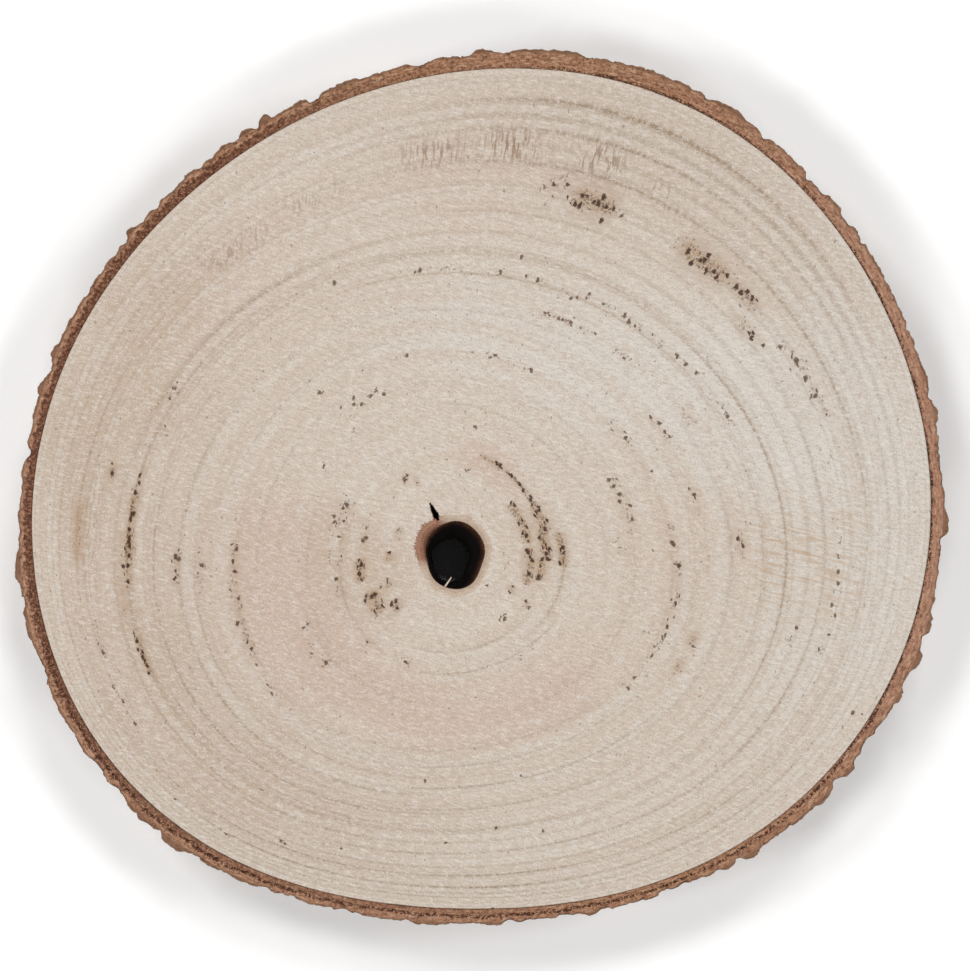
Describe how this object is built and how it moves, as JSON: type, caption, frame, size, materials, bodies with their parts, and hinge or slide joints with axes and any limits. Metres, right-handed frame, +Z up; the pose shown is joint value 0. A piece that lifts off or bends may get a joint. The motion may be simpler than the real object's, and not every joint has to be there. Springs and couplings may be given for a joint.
{
  "type": "wood slice",
  "caption": "Thick cross-cut slice of a hollow-pithed branch: pale sawn wood with growth rings and an off-centre pith hollow, in its ring of rough bark.",
  "frame": {"origin": "on the surface the slice lies on, under the middle of its outline's box", "axes": "+Z up, out of the upper sawn face; +X along the slice's longest width; +Y across it"},
  "size_m": [0.2994, 0.282, 0.035],
  "materials": {
    "wood": "sawn, unfinished, matt, fuzzy grain end-on",
    "bark": "rough dry bark, matt"
  },
  "bodies": {
    "root": {"wood": "wood", "bark": "bark"}
  },
  "joints": []
}
